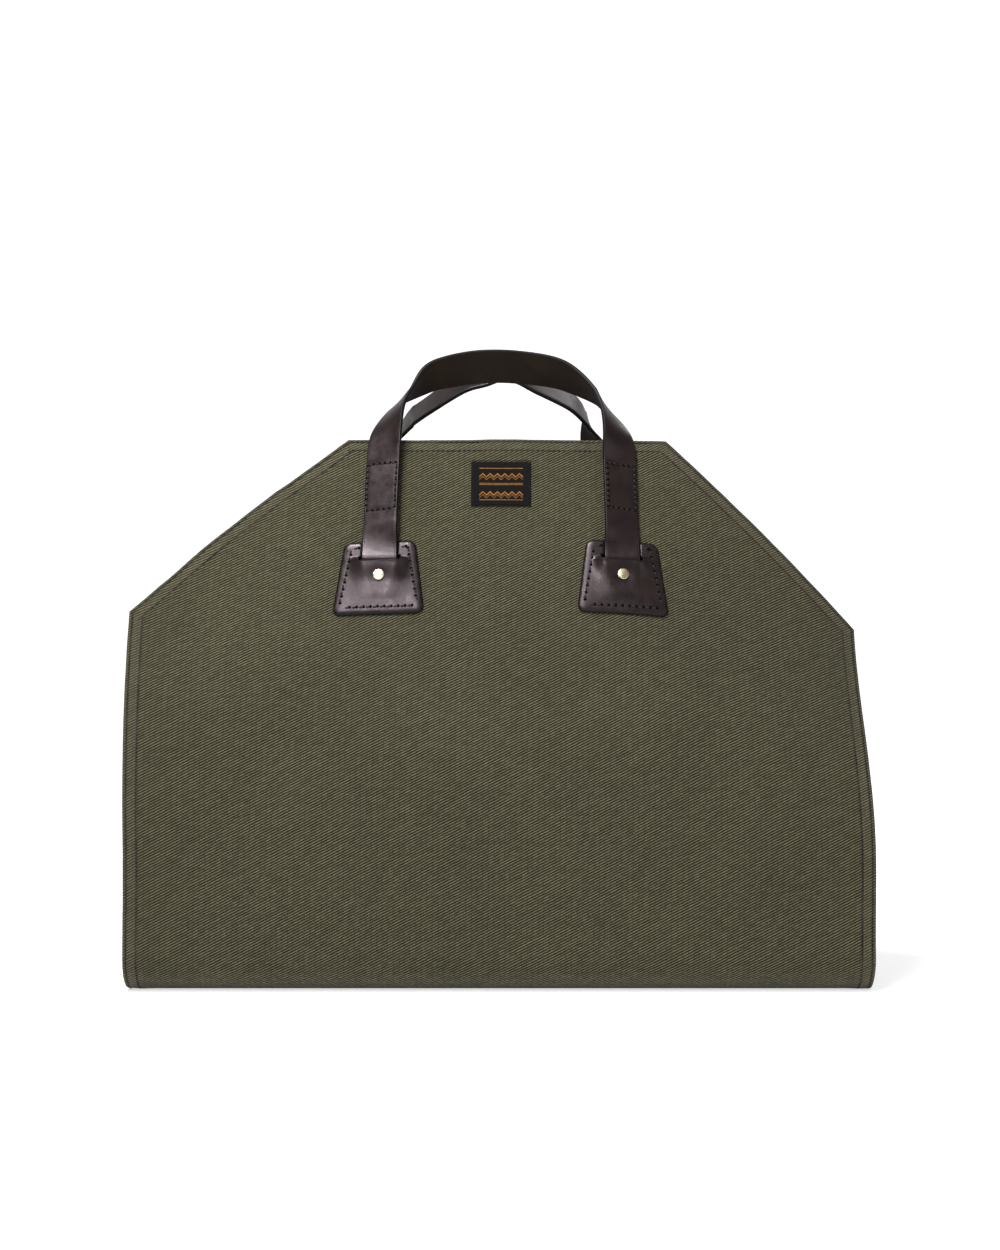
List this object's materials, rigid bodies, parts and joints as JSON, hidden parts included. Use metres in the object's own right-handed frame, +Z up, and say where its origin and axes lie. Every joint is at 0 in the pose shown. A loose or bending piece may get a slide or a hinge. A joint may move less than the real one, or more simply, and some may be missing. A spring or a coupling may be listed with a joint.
{
  "type": "canvas log carrier",
  "caption": "Open-ended canvas sling for firewood: a hemmed twill sheet folded into a trough, with riveted leather handles on both panels.",
  "frame": {"origin": "on the floor, under the middle of the flat base", "axes": "+X along the carrier to the right as seen from the front, -Y towards the front panel with the label, +Z up"},
  "size_m": [0.6177, 0.3004, 0.5389],
  "materials": {
    "olive_twill": "heavy twill, matt",
    "brown_leather": "smooth bridle leather, soft shine",
    "brass": "polished",
    "black_label": "woven, matt"
  },
  "bodies": {
    "root": {"canvas_sheet": "olive_twill", "front_handle": "brown_leather", "back_handle": "brown_leather", "front_left_patch": "brown_leather", "front_right_patch": "brown_leather", "back_left_patch": "brown_leather", "back_right_patch": "brown_leather", "front_left_rivet": "brass", "front_right_rivet": "brass", "back_left_rivet": "brass", "back_right_rivet": "brass", "woven_label": "black_label"}
  },
  "joints": []
}
